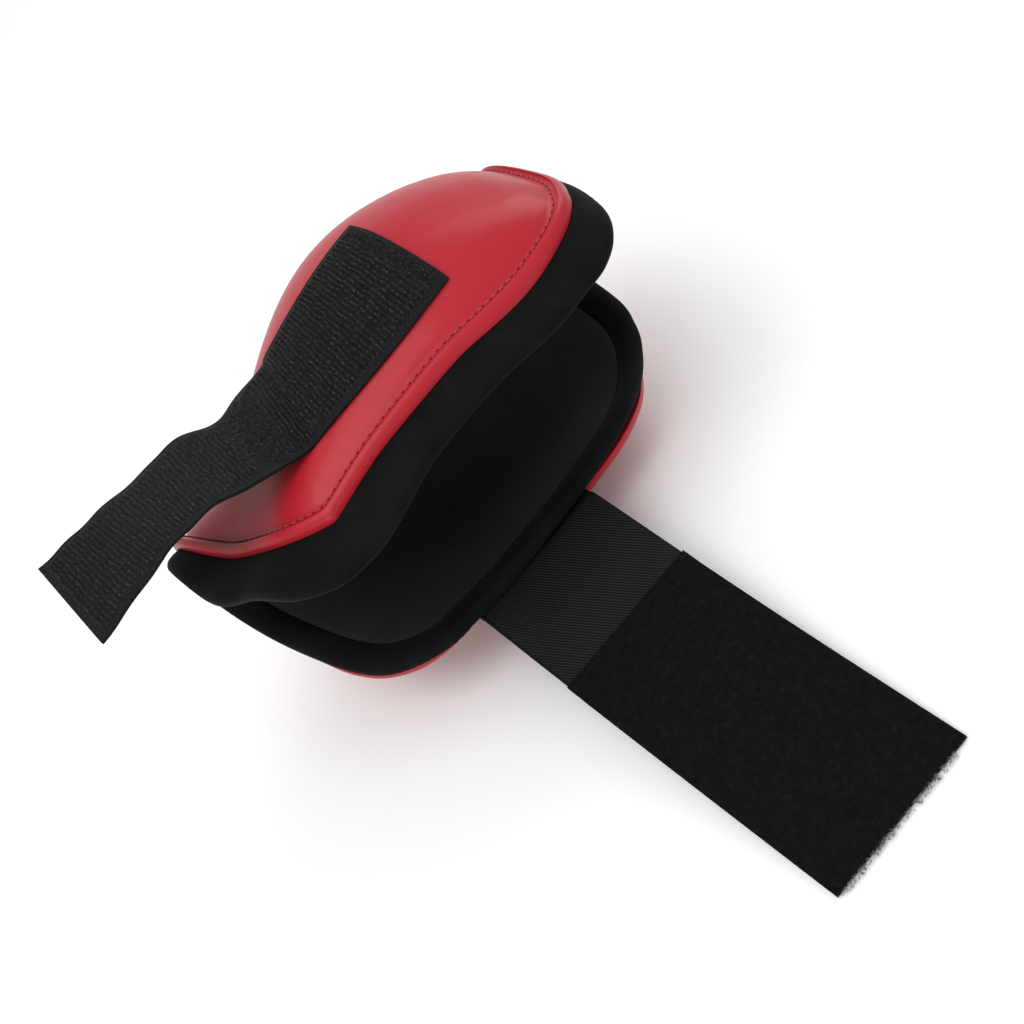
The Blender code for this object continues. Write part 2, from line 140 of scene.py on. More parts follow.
PANEL_PROFILE = [(13.0, PANEL_TOP), (9.4, PANEL_TOP), (9.05, 0.6), (9.2, 0.25), (9.9, 0.02),
                 (11.0, -0.02), (13.0, 0.0)]
BAND_SEAM_DEPTH = 0.45     # where the padding's edge band is sewn
BAND_SEAM_HEIGHT = 3.3

# ---- hook tape
TAPE_WIDTH = 50.0
TAPE_THICK = 1.5
TAPE_HALF = 0.5            # cloth on each side of the tape's middle face, under the hooks
TAPE_GAP = 0.15
PATCH_FRONT = ((36.0, 24.8), (-30.4, 30.2))
PATCH_BACK = ((34.3, 63.8), (-20.0, 73.0))
PATCH_BOW = (3.4, 6.0)     # how far its front and back edges bow towards the front line
TAIL_LINE = [(-36.9, 46.9, 83.8, 13.5, 3.5), (-50.0, 47.5, 88.3, 15.5, 2.5),
             (-62.0, 47.8, 90.0, 15.0, 0.0), (-74.0, 48.0, 90.6, 12.5, -3.0),
             (-86.0, 48.0, 90.0, 9.6, -1.0), (-97.7, 48.0, 89.7, 7.0, 1.0)]
TAPE_COLUMNS = 61
TAPE_CUTS = (-28.0, -41.0, -62.0)                   # x where the tape's pieces meet
BUCKLES = [(-33.5, 5.0, -2.0), (-46.0, 6.5, 2.4)]   # place along X, width, rise of the back edge
FREE_FROM = -34.0          # x where the tail is free of the shell, and its edges start to wave
EDGE_WAVE = 0.3
HOOK_PITCH = 1.5
SELVEDGE = 2.0
COARSE_END = 5.5           # length of the unruly hooks at the patch's cut end
COARSE_BAND = (-29.0, 5.5)  # more of them as the tape leaves the shell: x of their middle, reach
BOX_INSET = 3.4            # the patch's box of stitches: way in from its edges, x of its left end
BOX_END = -24.0
TAPE_CENTRE = (0.0, 46.0, 20.0)   # the box's threads stand away from the line along X through it

# ---- strap
STRAP_LINE = [(-1.4, 8.7), (-36.0, 5.0), (-56.3, 3.3), (-76.6, 2.1), (-97.0, 1.5),
              (-117.4, 1.3), (-137.8, 1.3)]
ELASTIC_WIDTH = 50.0
LOOP_WIDTH = 51.0
ELASTIC_HALF = 0.7         # cloth under the middle faces of the two webs
LOOP_HALF = 0.75
LAP_RISE = 0.75            # the loop tape lies over the elastic's end, and comes down after it
LAP_LENGTH = 9.0
LAP_OVERLAP = 3.0
BOX_LENGTH = 16.0
RIB_SLANT = 0.55           # way that a rib moves across the elastic for each unit along it
RIB_PITCH = 0.85
RIB_HEIGHT = 0.13
WEAVE_HEIGHT = 0.05
ELASTIC_STEP = 0.3
LOOP_STEP = 0.8
LOOP_COLUMNS = 65
LOOP_FACE = 0.95           # height of the loop tape's face, where it is sewn, over its middle
ROOT_DEPTHS = (10.0, 7.0, 4.0, 1.5)   # way in from the front line of the sewn-in root's points
ROOT_HEIGHT = 6.3
ROOT_FADE = 24.0           # the curl of the root dies out over this length in front
FRINGE_THREADS = 170
FRINGE_RADIUS = 0.055

# ---- sewing threads: pitch, length and radius of a stitch
SEAM_THREAD = (SEAM_PITCH, 1.6, 0.27)
# dark red marks half a pitch between the stitches: painted shade in the stitch holes
SEAM_HOLE_SHADE = (SEAM_PITCH, 1.0, 0.22)
BAND_THREAD = (2.6, 2.1, 0.1)
PATCH_THREAD = (2.4, 1.9, 0.2)
STRAP_THREAD = (2.6, 2.0, 0.17)
# a stitch along its length: place, lift above the cloth (sunk at its ends) and thickness
STITCH_ARCH = [(-0.5, None, 0.55), (-0.36, 0.35, 0.9), (0.0, 0.75, 1.0), (0.36, 0.35, 0.9),
               (0.5, None, 0.55)]
STITCH_SIDES = 6


# ---------------------------------------------------------------- the U as a surface
def smooth(value):
    """0 to 1 as the value goes from 0 to 1, without a kink at either end."""
    value = np.clip(value, 0.0, 1.0)
    return value * value * (3.0 - 2.0 * value)


def slope(s):
    """Direction of the inner face, seen along X: two nearly straight arms and a round back."""
    arm = ARM_SHARE * np.clip(s / WRAP, 0.0, 1.0)
    turn = arm + (1.0 - ARM_SHARE) * smooth((s - BEND_START) / BEND_LENGTH)
    return np.radians(START_SLOPE + (END_SLOPE - START_SLOPE) * turn)


def trace_section(step=0.25):
    """The inner face seen along X: the way along it, and its y and z."""
    s = np.arange(-OVERHANG, WRAP + OVERHANG + step, step)
    angle = slope(0.5 * (s[1:] + s[:-1]))
    y = np.concatenate([[0.0], np.cumsum(step * np.cos(angle))])
    z = np.concatenate([[0.0], np.cumsum(step * np.sin(angle))])
    start = round(OVERHANG / step)
    return s, y - y[start], z - z[start] + FRONT_HEIGHT


SECTION_S, SECTION_Y, SECTION_Z = trace_section()


def to_row(points):
    """Guard-frame millimetres to row-frame metres."""
    x, y, z = np.moveaxis(np.asarray(points, float), -1, 0)
    turned = np.stack([x, y * math.cos(TILT) - z * math.sin(TILT),
                       y * math.sin(TILT) + z * math.cos(TILT)], -1)
    return (turned + STAND) * MM


def guard_point(x, s, t):
    """Guard-frame point of the U. x, s and t are arrays of one shape."""
    u = np.minimum(s, WRAP - s)
    lobes = sum(smooth(1.0 - abs(x - lobe) / LOBE_WIDTH) for lobe in LOBES)
    curl = CURL * lobes * smooth(1.0 - np.maximum(0.0, u) / CURL_REACH)
    part = np.maximum(0.0, 1.0 - ((x - BULGE_CENTRE) / BULGE_WIDTH) ** 2)
    bulge = (BULGE * part * part + BULGE_BASE) * smooth(u / BULGE_REACH)
    flare = FLARE * smooth((FLARE_FROM - x) / FLARE_WIDTH) * smooth((u - FLARE_START) / FLARE_GROWTH)
    height = t - curl + bulge + flare
    angle = slope(s)
    y = np.interp(s, SECTION_S, SECTION_Y) + height * np.sin(angle)
    z = np.interp(s, SECTION_S, SECTION_Z) - height * np.cos(angle)
    return np.stack([x, y, z], -1)


def spline(points, detail=SPLINE_DETAIL):
    """Dense points on the smooth curve through the given ones."""
    points = np.asarray(points, float)
    ends = np.concatenate([2 * points[:1] - points[1:2], points, 2 * points[-1:] - points[-2:-1]])
    part = np.linspace(0.0, 1.0, detail, endpoint=False)[:, None]
    pieces = []
    for a, b, c, d in zip(ends, ends[1:], ends[2:], ends[3:]):
        pieces.append(0.5 * (2 * b + part * (c - a + part * (
            2 * a - 5 * b + 4 * c - d + part * (3 * b - a - 3 * c + d)))))
    return np.concatenate(pieces + [points[-1:]])


def resample(points, count):
    """count points evenly spaced along a polyline, its ends among them."""
    steps = np.linalg.norm(np.diff(points, axis=0), axis=1)
    along = np.concatenate([[0.0], np.cumsum(steps)])
    wanted = np.linspace(0.0, along[-1], count)
    return np.stack([np.interp(wanted, along, column) for column in points.T], -1)


class Outline:
    """A closed outline in (x, s) with four sides, and its insets. The sides are the upper front
    line, the left end, the lower front line and the right end."""

    def __init__(self, upper, lower, sides, corner=None):
        self.across, self.around = OUTLINE_ACROSS, OUTLINE_AROUND
        self.counts = (self.across, self.around, self.across, self.around)
        ring = self.trace(self.four_runs(upper, lower, *sides), corner)
        self.rings = [ring]
        while len(self.rings) * RIM_STEP <= CORE_INSET:
            ring = self.step_in(ring)
            self.rings.append(ring)

    @staticmethod
    def four_runs(upper, lower, left, right):
        """The outline as four runs of (x, s), each ending where the next one starts."""
        top = [(x, WRAP - u) for x, u in upper]
        bottom = [(x, u) for x, u in lower[::-1]]
        left_run = [top[-1], (left[0][0], WRAP - left[0][1]), left[1], left[2], bottom[0]]
        right_run = [bottom[-1], right[0], right[1], (right[2][0], WRAP - right[2][1]), top[0]]
        return top, left_run, bottom, right_run

    def trace(self, runs, corner):
        """A ring of points through the runs, evenly spread along each. It is smooth all round,
        but for the corner, if there is one."""
        loop = [point for run in runs for point in run[:-1]]
        starts = np.cumsum([0] + [len(run) - 1 for run in runs])
        pad = 3
        wrapped = loop[-pad:] + loop + loop[:pad + 1]
        dense = spline(wrapped)
        if corner is not None:
            cut = pad + corner
            dense = np.concatenate([spline(wrapped[:cut + 1])[:-1], spline(wrapped[cut:])])
        parts = []
        for start, end, count in zip(starts, starts[1:], self.counts):
            first, last = (pad + start) * SPLINE_DETAIL, (pad + end) * SPLINE_DETAIL
            parts.append(resample(dense[first:last + 1], count + 1)[:-1])
        return np.concatenate(parts)

    @staticmethod
    def normals(ring):
        """Directions that point into the outline from each point of a ring."""
        along = np.roll(ring, -1, 0) - np.roll(ring, 1, 0)
        along /= np.linalg.norm(along, axis=1)[:, None]
        return np.stack([-along[:, 1], along[:, 0]], -1)

    def step_in(self, ring):
        """The ring RIM_STEP further in, with the points of each side evenly spread."""
        moved = ring + RIM_STEP * self.normals(ring)
        moved = 0.7 * moved + 0.15 * (np.roll(moved, 1, 0) + np.roll(moved, -1, 0))
        looped = np.concatenate([moved, moved[:1]])
        parts, start = [], 0
        for count in self.counts:
            parts.append(resample(looped[start:start + count + 1], count + 1)[:-1])
            start += count
        return np.concatenate(parts)

    def at(self, depth):
        """The ring at a depth, straight between the two nearest ones."""
        place = min(depth / RIM_STEP, len(self.rings) - 1.001)
        index = int(place)
        return self.rings[index] + (self.rings[index + 1] - self.rings[index]) * (place - index)

    def core(self, depth):
        """A grid that fills the ring at a depth, rows from the upper side to the lower."""
        ring = self.at(depth)
        n, m = self.across, self.around
        top, left = ring[:n + 1], ring[n:n + m + 1]
        bottom = ring[n + m:2 * n + m + 1][::-1]
        right = np.concatenate([ring[2 * n + m:], ring[:1]])[::-1]
        u = np.linspace(0.0, 1.0, n + 1)[None, :, None]
        v = np.linspace(0.0, 1.0, m + 1)[:, None, None]
        flat = (1 - u) * (1 - v) * top[0] + u * (1 - v) * top[-1]
        flat = flat + (1 - u) * v * bottom[0] + u * v * bottom[-1]
        return ((1 - v) * top[None] + v * bottom[None] + (1 - u) * right[:, None]
                + u * left[:, None] - flat)

    def depth_of(self, points):
        """Distance from the outline to points of (x, s)."""
        flat = points.reshape(-1, 2)
        best = np.full(len(flat), 1e9)
        for start in range(0, len(self.rings[0]), 40):
            part = self.rings[0][start:start + 40]
            gap = np.linalg.norm(flat[:, None] - part[None], axis=2)
            best = np.minimum(best, gap.min(1))
        return best.reshape(points.shape[:-1])


PAD = Outline(PAD_UPPER, PAD_LOWER, PAD_SIDES)
SHELL = Outline(SHELL_UPPER, SHELL_LOWER, SHELL_SIDES, corner=SHELL_CORNER)


def dome(depth):
    """Top of the shell's dome, at a way in from the outline."""
    return SHELL_SEAT + SHELL_FLANGE + (SHELL_DOME - SHELL_FLANGE) * np.sin(
        0.5 * np.pi * np.minimum(1.0, depth / DOME_REACH))


def shell_height(x, s):
    """Top of the shell at points of (x, s), rim and dome."""
    depth = SHELL.depth_of(np.stack([x, s], -1))
    rim = np.array(SHELL_PROFILE[2:])
    return np.where(depth > CORE_INSET, dome(depth), np.interp(
        depth, np.append(rim[:, 0], CORE_INSET), np.append(rim[:, 1], dome(CORE_INSET))))


# ---------------------------------------------------------------- meshes
def add_mesh(name, points, faces, material, sharp=40.0):
    mesh = bpy.data.meshes.new(name)
    mesh.from_pydata(np.asarray(points).tolist(), [], [tuple(face) for face in faces])
    mesh.validate()
    mesh.shade_smooth()
    if sharp:
        mesh.set_sharp_from_angle(angle=math.radians(sharp))
    mesh.materials.append(material)
    obj = bpy.data.objects.new(name, mesh)
    bpy.context.scene.collection.objects.link(obj)
    return obj


def grid_faces(index, flip=False):
    """Quads between the rows and columns of an array of vertex numbers."""
    a, b = index[:-1, :-1].ravel(), index[:-1, 1:].ravel()
    c, d = index[1:, 1:].ravel(), index[1:, :-1].ravel()
    quads = np.stack([a, b, c, d] if not flip else [d, c, b, a], -1)
    return quads.tolist()


def core_index(outline, first_of_ring, first_inside):
    """Vertex numbers of a core grid whose border is a ring."""
    n, m = outline.across, outline.around
    size = 2 * (n + m)
    index = np.zeros((m + 1, n + 1), int)
    index[0, :] = first_of_ring + np.arange(n + 1)
    index[:, n] = first_of_ring + n + np.arange(m + 1)
    index[m, ::-1] = first_of_ring + n + m + np.arange(n + 1)
    index[::-1, 0] = first_of_ring + (2 * n + m + np.arange(m + 1)) % size
    index[1:m, 1:n] = first_inside + np.arange((m - 1) * (n - 1)).reshape(m - 1, n - 1)
    return index


def tube_faces(start, rings, sides):
    """Side and end faces of a tube whose rings of points begin at a vertex number."""
    faces = []
    for ring in range(rings - 1):
        for k in range(sides):
            a = start + ring * sides + k
            b = start + ring * sides + (k + 1) % sides
            faces.append((a, b, b + sides, a + sides))
    faces.append(tuple(start + k for k in range(sides - 1, -1, -1)))
    faces.append(tuple(start + (rings - 1) * sides + k for k in range(sides)))
    return faces


def closed_panel(name, outline, profile, under, over, material):
    """A closed body on the U: a ring for each step of the profile, from the depth where the
    under side starts, round the edge, to the depth where the upper side starts, and two cores.
    under and over give the heights of the cores at (x, s)."""
    rings = [(outline.at(depth), height) for depth, height in profile]
    size = len(rings[0][0])
    flat = [ring for ring, height in rings]
    heights = [np.full(size, height) for ring, height in rings]
    cores = [outline.core(profile[0][0]), outline.core(profile[-1][0])]
    for core, height in zip(cores, (under, over)):
        inside = core[1:-1, 1:-1].reshape(-1, 2)
        flat.append(inside)
        heights.append(height(inside[:, 0], inside[:, 1]))
    flat, heights = np.concatenate(flat), np.concatenate(heights)
    faces = []
    for number in range(len(rings) - 1):
        rows = np.stack([np.append(np.arange(size), 0) + number * size,
                         np.append(np.arange(size), 0) + (number + 1) * size])
        faces += grid_faces(rows, flip=True)
    inside = (outline.across - 1) * (outline.around - 1)
    faces += grid_faces(core_index(outline, 0, len(rings) * size))
    last = core_index(outline, (len(rings) - 1) * size, len(rings) * size + inside)
    faces += grid_faces(last, flip=True)
    points = to_row(guard_point(flat[:, 0], flat[:, 1], heights))
    return add_mesh(name, points, faces, material)


def slab(name, middle, top, under, material):
    """A closed strip round a grid of guard-frame points: top is the height over it at each
    point, along its normal, and under the depth below it. The attribute pile is the top's
    relief, from 0 to 1, for the materials of the hook tape and the elastic, which paint shade into
    its low places."""
    rows = np.gradient(middle, axis=0)
    columns = np.gradient(middle, axis=1)
    normal = np.cross(rows, columns)
    normal /= np.linalg.norm(normal, axis=2)[:, :, None]
    if normal[..., 2].mean() < 0:
        normal = -normal
    upper = middle + normal * np.asarray(top)[..., None]
    lower = middle - normal * under
    count = middle.shape[0] * middle.shape[1]
    index = np.arange(count).reshape(middle.shape[:2])
    edge = np.concatenate([index[0, :-1], index[:-1, -1], index[-1, :0:-1], index[:0:-1, 0]])
    faces = grid_faces(index) + grid_faces(index + count, flip=True)
    faces += [(b, a, a + count, b + count) for a, b in zip(edge, np.roll(edge, -1))]
    points = to_row(np.concatenate([upper.reshape(-1, 3), lower.reshape(-1, 3)]))
    obj = add_mesh(name, points, faces, material)
    pile = obj.data.attributes.new("pile", "FLOAT", "POINT")
    raised = (np.asarray(top) - np.min(top)) / max(1e-6, np.ptp(top))
    pile.data.foreach_set("value", np.concatenate([raised.ravel(), np.zeros(count)]))
    outwards(obj)
    return obj


def outwards(obj):
    """Turn the faces of a closed mesh outwards."""
    mesh = obj.data
    volume = 0.0
    mesh.calc_loop_triangles()
    for triangle in mesh.loop_triangles:
        a, b, c = (mesh.vertices[index].co for index in triangle.vertices)
        volume += a.dot(b.cross(c))
    if volume < 0:
        mesh.flip_normals()


def stitches(name, path, up, thread, material, sink=0.6, shift=0.0):
    """Short threads along a closed guard-frame path; their ends dip into the cloth."""
    pitch, length, radius = thread
    path, up = np.concatenate([path, path[:1]]), np.concatenate([up, up[:1]])
    steps = np.linalg.norm(np.diff(path, axis=0), axis=1)
    along = np.concatenate([[0.0], np.cumsum(steps)])
    count = int(along[-1] / pitch)
    points, faces = [], []

    def place_at(where, line):
        return np.array([np.interp(where, along, column, period=along[-1]) for column in line.T])

    for number in range(count):
        centre = (number + 0.5 + shift) * along[-1] / count
        faces += tube_faces(len(points), len(STITCH_ARCH), STITCH_SIDES)
        for place, lift, size in STITCH_ARCH:
            rise = -sink if lift is None else lift
            where = centre + place * length
            point, normal = place_at(where, path), place_at(where, up)
            normal /= np.linalg.norm(normal)
            side = np.cross(place_at(where + 0.4, path) - place_at(where - 0.4, path), normal)
            side /= np.linalg.norm(side)
            for k in range(STITCH_SIDES):
                angle = 2.0 * math.pi * k / STITCH_SIDES
                offset = math.cos(angle) * side + (math.sin(angle) + rise) * normal
                points.append(point + radius * size * offset)
    return add_mesh(name, to_row(points), faces, material, sharp=0)


def on_surface(flat, height):
    """Guard points at a height over (x, s), and the directions away from the surface."""
    x, s = flat[:, 0], flat[:, 1]
    low = guard_point(x, s, height)
    high = guard_point(x, s, height + 1.0)
    return low, high - low


# ---------------------------------------------------------------- materials
class Nodes:
    """A Principled material with short ways to add nodes to it."""

    def __init__(self, name, colour, roughness, **values):
        self.material = bpy.data.materials.new(name)
        self.material.use_nodes = True
        self.tree = self.material.node_tree
        self.shader = self.tree.nodes["Principled BSDF"]
        self.shader.inputs["Base Color"].default_value = (*colour, 1.0)
        self.shader.inputs["Roughness"].default_value = roughness
        for label, value in values.items():
            self.shader.inputs[label.replace("_", " ")].default_value = value
        self.place = self.add("ShaderNodeTexCoord").outputs["Object"]

    def add(self, kind, **settings):
        node = self.tree.nodes.new(kind)
        for label, value in settings.items():
            setattr(node, label, value)
        return node

    def link(self, source, target):
        self.tree.links.new(source, target)

    def noise(self, scale, detail=3.0, roughness=0.55):
        node = self.add("ShaderNodeTexNoise")
        node.inputs["Scale"].default_value = scale
        node.inputs["Detail"].default_value = detail
        node.inputs["Roughness"].default_value = roughness
        self.link(self.place, node.inputs["Vector"])
        return node.outputs["Fac"]

    def cells(self, scale):
        node = self.add("ShaderNodeTexVoronoi")
        node.inputs["Scale"].default_value = scale
        self.link(self.place, node.inputs["Vector"])
        return node.outputs["Distance"]

    def attribute(self, name):
        return self.add("ShaderNodeAttribute", attribute_name=name).outputs["Fac"]

    def turned(self, rotation):
        node = self.add("ShaderNodeMapping")
        node.inputs["Rotation"].default_value = rotation
        self.link(self.place, node.inputs["Vector"])
        return node.outputs["Vector"]

    def waves(self, scale, place, direction, distortion):
        node = self.add("ShaderNodeTexWave", bands_direction=direction)
        node.inputs["Scale"].default_value = scale
        node.inputs["Distortion"].default_value = distortion
        self.link(place, node.inputs["Vector"])
        return node.outputs["Fac"]

    def ramp(self, source, stops):
        node = self.add("ShaderNodeValToRGB")
        elements = node.color_ramp.elements
        while len(elements) < len(stops):
            elements.new(0.5)
        for element, (position, colour) in zip(elements, stops):
            element.position = position
            element.color = (*colour, 1.0)
        self.link(source, node.inputs["Fac"])
        return node.outputs["Color"]

    def math(self, operation, a, b):
        node = self.add("ShaderNodeMath", operation=operation)
        for socket, value in zip(node.inputs, (a, b)):
            if isinstance(value, float):
                socket.default_value = value
            else:
                self.link(value, socket)
        return node.outputs["Value"]

    def spread(self, source, low, high):
        node = self.add("ShaderNodeMapRange")
        node.inputs["To Min"].default_value = low
        node.inputs["To Max"].default_value = high
        self.link(source, node.inputs["Value"])
        return node.outputs["Result"]

    def colour(self, source):
        self.link(source, self.shader.inputs["Base Color"])

    def roughness(self, source):
        self.link(source, self.shader.inputs["Roughness"])

    def bump(self, source, distance, strength=1.0, below=None):
        node = self.add("ShaderNodeBump")
        node.inputs["Strength"].default_value = strength
        node.inputs["Distance"].default_value = distance * MM
        self.link(source, node.inputs["Height"])
        if below is not None:
            self.link(below, node.inputs["Normal"])
        self.link(node.outputs["Normal"], self.shader.inputs["Normal"])
        return node.outputs["Normal"]


def shell_material():
    look = Nodes("moulded_red", (0.45, 0.012, 0.03), 0.34, IOR=1.45,
                 Specular_IOR_Level=0.22, Coat_Weight=0.06, Coat_Roughness=0.12)
    cloud = look.noise(14.0, 2.0)
    look.colour(look.ramp(cloud, [(0.35, (0.345, 0.0115, 0.020)), (0.65, (0.375, 0.013, 0.024))]))
    wear = look.noise(260.0, 4.0)
    look.roughness(look.spread(wear, 0.32, 0.44))
    fine = look.bump(look.noise(900.0, 2.0), 0.012, 0.25)
    look.bump(cloud, 0.5, 0.12, fine)
    return look.material


def neoprene_material():
    look = Nodes("neoprene", (0.005, 0.005, 0.0052), 0.8, Specular_IOR_Level=0.06,
                 Sheen_Weight=0.025, Sheen_Roughness=0.45)
    look.shader.inputs["Sheen Tint"].default_value = (0.7, 0.72, 0.78, 1.0)
    cloud = look.noise(70.0, 4.0)
    look.colour(look.ramp(cloud, [(0.3, (0.0026, 0.0029, 0.0029)),
                                  (0.7, (0.0056, 0.0060, 0.0059))]))
    knit = look.cells(1500.0)
    low = look.bump(look.noise(240.0, 3.0), 0.12, 0.35)
    look.bump(knit, 0.06, 0.5, low)
    return look.material


def lining_material():
    look = Nodes("lining_knit", (0.005, 0.005, 0.0052), 0.85, Specular_IOR_Level=0.1,
                 Sheen_Weight=0.02, Sheen_Roughness=0.5)
    cloud = look.noise(40.0, 4.0)
    look.colour(look.ramp(cloud, [(0.3, (0.0125, 0.0128, 0.0130)),
                                  (0.7, (0.0175, 0.0178, 0.0180))]))
    low = look.bump(look.noise(120.0, 3.0), 0.2, 0.3)
    look.bump(look.cells(1300.0), 0.05, 0.5, low)
    return look.material


def hook_material():
    look = Nodes("hook_tape", (0.01, 0.01, 0.011), 0.5, Specular_IOR_Level=0.07)
    speck = look.cells(1150.0)
    # painted shade: darker where the pile attribute is low, in the grooves between the hook rows and
    # on the flat selvedge; the cells add lighter specks
    depth = look.spread(look.attribute("pile"), 0.42, 0.0)
    speck_and_groove_shade = look.math("ADD", speck, depth)
    look.colour(look.ramp(speck_and_groove_shade, [(0.10, (0.20, 0.202, 0.215)), (0.26, (0.046, 0.046, 0.051)),
                                 (0.50, (0.0135, 0.0135, 0.0155)), (0.85, (0.0060, 0.0062, 0.0068))]))
    look.roughness(look.spread(look.noise(700.0), 0.45, 0.7))
    low = look.bump(look.noise(420.0, 4.0), 0.25, 0.6)
    look.bump(speck, 0.25, 0.8, low)
    return look.material


def loop_material():
    look = Nodes("loop_tape", (0.004, 0.004, 0.0042), 0.95, Specular_IOR_Level=0.06,
                 Sheen_Weight=0.03, Sheen_Roughness=0.35)
    nap = look.noise(520.0, 5.0, 0.7)
    look.colour(look.ramp(nap, [(0.35, (0.0028, 0.0029, 0.0032)), (0.6, (0.0052, 0.0053, 0.0056)),
                                (0.78, (0.011, 0.011, 0.0115))]))
    look.bump(nap, 0.35, 0.8)
    return look.material


def elastic_material():
    look = Nodes("elastic", (0.006, 0.006, 0.0065), 0.62, Specular_IOR_Level=0.1)
    # painted shade and light: the colour follows the relief (the pile attribute), nearly black in the
    # grooves between the ribs and lighter on the rib tops
    look.colour(look.ramp(look.attribute("pile"), [(0.35, (0.0012, 0.0014, 0.0014)),
                                                   (0.7, (0.0065, 0.0068, 0.0068)),
                                                   (1.0, (0.034, 0.035, 0.035))]))
    grid = look.waves(150.0, look.place, "X", 0.6)
    look.bump(grid, 0.05, 0.6, look.bump(look.noise(900.0, 3.0), 0.08, 0.5))
    return look.material


def thread_material(name, colour):
    look = Nodes(name, colour, 0.7, Specular_IOR_Level=0.12)
    twist = look.waves(900.0, look.turned((0.6, 0.3, 0.8)), "DIAGONAL", 0.4)
    dark = tuple(0.6 * part for part in colour)
    look.colour(look.ramp(twist, [(0.2, dark), (0.8, colour)]))
    look.bump(twist, 0.06, 0.7)
    return look.material


def floor_material():
    look = Nodes("studio_floor", (0.86, 0.86, 0.86), 0.9, Specular_IOR_Level=0.1)
    look.colour(look.ramp(look.noise(2.0), [(0.0, (0.85, 0.85, 0.85)), (1.0, (0.88, 0.88, 0.88))]))
    return look.material


MATERIALS = {
    "shell_red": shell_material(),
    "neoprene_black": neoprene_material(),
    "lining_black": lining_material(),
    "hook_black": hook_material(),
    "loop_black": loop_material(),
    "elastic_black": elastic_material(),
    # the seam thread: partly its own red, partly a painted highlight, as its colour is lightened to
    # pink
    "thread_red": thread_material("shell_thread", (0.46, 0.07, 0.11)),
    # painted shade: a darker copy of the seam thread, for the stitch holes
    "stitch_hole_shade": thread_material("stitch_hole_shade_red", (0.21, 0.009, 0.018)),
    "thread_black": thread_material("tape_thread", (0.0045, 0.0045, 0.005)),
}


# ---------------------------------------------------------------- the U
def flex(obj):
    """Bake the world transform of a piece of the U into its mesh."""
    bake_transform(obj)


def make_shell():
    def under(x, s):
        depth = SHELL.depth_of(np.stack([x, s], -1))
        hollow = smooth((depth - HOLLOW_START) / HOLLOW_WIDTH)
        return SHELL_UNDER + (dome(depth) - SHELL_WALL - SHELL_UNDER) * hollow

    obj = closed_panel("shell", SHELL, SHELL_PROFILE + [(CORE_INSET, float(dome(CORE_INSET)))],
                       under, shell_height, MATERIALS["shell_red"])
    flex(obj)
    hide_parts("shell_lower", "shell_upper")
    path, up = on_surface(SHELL.at(SEAM_DEPTH), SEAM_HEIGHT)
    # red seam thread, lightened to pink as a painted highlight
    seam = stitches("shell_stitching", path, up, SEAM_THREAD, MATERIALS["thread_red"])
    flex(seam)
    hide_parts("shell_seam_lower", "shell_seam_upper")
    # painted shade: dark red marks in the stitch holes, half a pitch between the stitches and sunk
    # deeper
    hole_shade = stitches("shell_stitch_hole_shade", path, up, SEAM_HOLE_SHADE, MATERIALS["stitch_hole_shade"],
                     sink=0.9, shift=0.5)
    flex(hole_shade)


def flat_core(height):
    """The heights of a core that stays at one height."""
    return lambda x, s: np.full(len(x), height)


def make_padding():
    profile = [(CORE_INSET, PAD_TOP)] + PAD_OUTER + [(CORE_INSET, PAD_UNDER)]
    obj = closed_panel("padding", PAD, profile, flat_core(PAD_TOP), flat_core(PAD_UNDER),
                       MATERIALS["neoprene_black"])
    flex(obj)
    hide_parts("edge_band_lower", "edge_band_upper", "foam_core_lower", "foam_core_upper",
                "dome_foam_lower", "dome_foam_upper")
    path, up = on_surface(PAD.at(BAND_SEAM_DEPTH), BAND_SEAM_HEIGHT)
    seam = stitches("band_stitching", path, up, BAND_THREAD, MATERIALS["thread_black"])
    flex(seam)


def make_panel():
    obj = closed_panel("inner_panel", PAD, PANEL_PROFILE, flat_core(PANEL_TOP), flat_core(0.0),
                       MATERIALS["lining_black"])
    flex(obj)
    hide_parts("inner_lining_lower", "inner_lining_upper")


# ---------------------------------------------------------------- hook tape
def patch_rows(shares, across):
    """Rows of the patch's middle face over the shell, from its right end to its left."""
    rows = []
    for share in shares:
        front = [a + (b - a) * share for a, b in zip(*PATCH_FRONT)]
        back = [a + (b - a) * share for a, b in zip(*PATCH_BACK)]
        bow = 4.0 * share * (1.0 - share)
        x = np.linspace(front[0], back[0], across)
        s = WRAP - np.linspace(front[1] - PATCH_BOW[0] * bow, back[1] - PATCH_BOW[1] * bow, across)
        rows.append(guard_point(x, s, shell_height(x, s) + 0.5 * TAPE_THICK + TAPE_GAP))
    return rows


def tail_rows(across):
    """Rows of the tail's middle face, from where it leaves the shell to its free end."""
    rows = []
    for x, y, z, lean, skew in TAIL_LINE:
        lean, skew = math.radians(lean), math.radians(skew)
        side = np.array((-math.sin(skew), -math.cos(skew) * math.cos(lean), math.sin(lean)))
        side /= np.linalg.norm(side)
        places = np.linspace(0.5 * TAPE_WIDTH, -0.5 * TAPE_WIDTH, across)
        rows.append(np.array((x, y, z)) + places[:, None] * side)
    return rows


